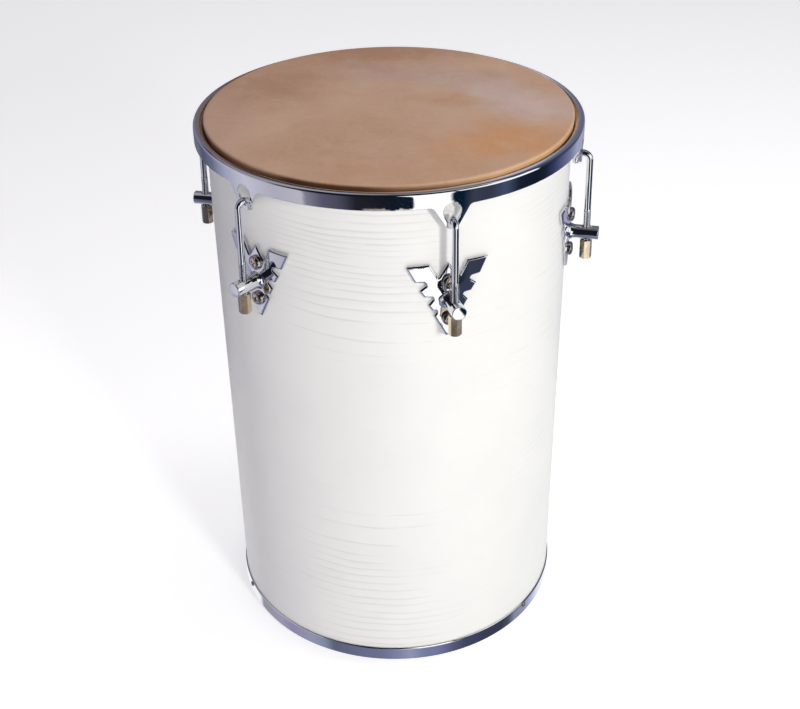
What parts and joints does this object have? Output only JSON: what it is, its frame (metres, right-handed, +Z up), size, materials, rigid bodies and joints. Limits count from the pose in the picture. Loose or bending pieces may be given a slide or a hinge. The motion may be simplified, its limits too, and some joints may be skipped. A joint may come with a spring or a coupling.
{
  "type": "rebolo drum",
  "caption": "Tall single-headed hand drum: white cylindrical shell, hide head, chromed tension hoop, hooked rods and brass tuning nuts on winged lug plates.",
  "frame": {"origin": "centre of the plane that the bottom rim stands on", "axes": "+Z up along the shell's axis, -Y towards the side that the picture was taken from, +X to the right of it"},
  "size_m": [0.3528, 0.3486, 0.4818],
  "materials": {
    "wood": "bare bent plywood",
    "laminate": "white laminate with an embossed wood-grain ripple",
    "hide": "mottled natural hide",
    "chrome": "polished chrome plate",
    "brass": "turned brass, slightly dull",
    "steel": "bright zinc plate",
    "flesh_wire": "plain steel"
  },
  "bodies": {
    "shell_body": {"wood_shell": "wood", "white_covering": "laminate", "drum_skin": "hide", "bottom_rim": "chrome", "rim_rivet_1": "steel", "rim_rivet_2": "steel", "rim_rivet_3": "steel", "lug_plate_1": "chrome", "lug_post_1": "chrome", "lug_screw_upper_1": "steel", "lug_screw_lower_1": "steel", "inner_nut_upper_1": "steel", "inner_nut_lower_1": "steel", "lug_plate_2": "chrome", "lug_post_2": "chrome", "lug_screw_upper_2": "steel", "lug_screw_lower_2": "steel", "inner_nut_upper_2": "steel", "inner_nut_lower_2": "steel", "lug_plate_3": "chrome", "lug_post_3": "chrome", "lug_screw_upper_3": "steel", "lug_screw_lower_3": "steel", "inner_nut_upper_3": "steel", "inner_nut_lower_3": "steel", "lug_plate_4": "chrome", "lug_post_4": "chrome", "lug_screw_upper_4": "steel", "lug_screw_lower_4": "steel", "inner_nut_upper_4": "steel", "inner_nut_lower_4": "steel", "lug_plate_5": "chrome", "lug_post_5": "chrome", "lug_screw_upper_5": "steel", "lug_screw_lower_5": "steel", "inner_nut_upper_5": "steel", "inner_nut_lower_5": "steel", "lug_plate_6": "chrome", "lug_post_6": "chrome", "lug_screw_upper_6": "steel", "lug_screw_lower_6": "steel", "inner_nut_upper_6": "steel", "inner_nut_lower_6": "steel"},
    "hoop_body": {"tension_hoop": "chrome", "flesh_hoop": "flesh_wire", "tension_rod_1": "chrome", "tension_rod_2": "chrome", "tension_rod_3": "chrome", "tension_rod_4": "chrome", "tension_rod_5": "chrome", "tension_rod_6": "chrome"},
    "nut_body_1": {"tuning_nut_1": "brass"},
    "nut_body_2": {"tuning_nut_2": "brass"},
    "nut_body_3": {"tuning_nut_3": "brass"},
    "nut_body_4": {"tuning_nut_4": "brass"},
    "nut_body_5": {"tuning_nut_5": "brass"},
    "nut_body_6": {"tuning_nut_6": "brass"}
  },
  "joints": [
    {"name": "hoop_tension", "type": "slide", "parent": "shell_body", "child": "hoop_body", "axis": [0, 0, -1], "range_m": [-0.003, 0.006], "deforming": ["drum_skin"]},
    {"name": "nut_1_turn", "type": "hinge", "parent": "shell_body", "child": "nut_body_1", "pos_m": [0.04807, -0.16333, 0.3684], "axis": [-0.0051, 0.0173, 0.9998], "range_deg": [-1081, 2161]},
    {"name": "nut_2_turn", "type": "hinge", "parent": "shell_body", "child": "nut_body_2", "pos_m": [0.16548, -0.04003, 0.3684], "axis": [-0.0175, 0.0042, 0.9998], "range_deg": [-1081, 2161]},
    {"name": "nut_3_turn", "type": "hinge", "parent": "shell_body", "child": "nut_body_3", "pos_m": [0.11741, 0.12329, 0.3684], "axis": [-0.0124, -0.013, 0.9998], "range_deg": [-1081, 2161]},
    {"name": "nut_4_turn", "type": "hinge", "parent": "shell_body", "child": "nut_body_4", "pos_m": [-0.04807, 0.16333, 0.3684], "axis": [0.0051, -0.0173, 0.9998], "range_deg": [-1081, 2161]},
    {"name": "nut_5_turn", "type": "hinge", "parent": "shell_body", "child": "nut_body_5", "pos_m": [-0.16548, 0.04003, 0.3684], "axis": [0.0175, -0.0042, 0.9998], "range_deg": [-1081, 2161]},
    {"name": "nut_6_turn", "type": "hinge", "parent": "shell_body", "child": "nut_body_6", "pos_m": [-0.11741, -0.12329, 0.3684], "axis": [0.0124, 0.013, 0.9998], "range_deg": [-1081, 2161]}
  ],
  "couplings": [
    {"joint": "nut_1_turn", "follows": "hoop_tension", "rad_per_m": 6283.2},
    {"joint": "nut_2_turn", "follows": "hoop_tension", "rad_per_m": 6283.2},
    {"joint": "nut_3_turn", "follows": "hoop_tension", "rad_per_m": 6283.2},
    {"joint": "nut_4_turn", "follows": "hoop_tension", "rad_per_m": 6283.2},
    {"joint": "nut_5_turn", "follows": "hoop_tension", "rad_per_m": 6283.2},
    {"joint": "nut_6_turn", "follows": "hoop_tension", "rad_per_m": 6283.2}
  ]
}
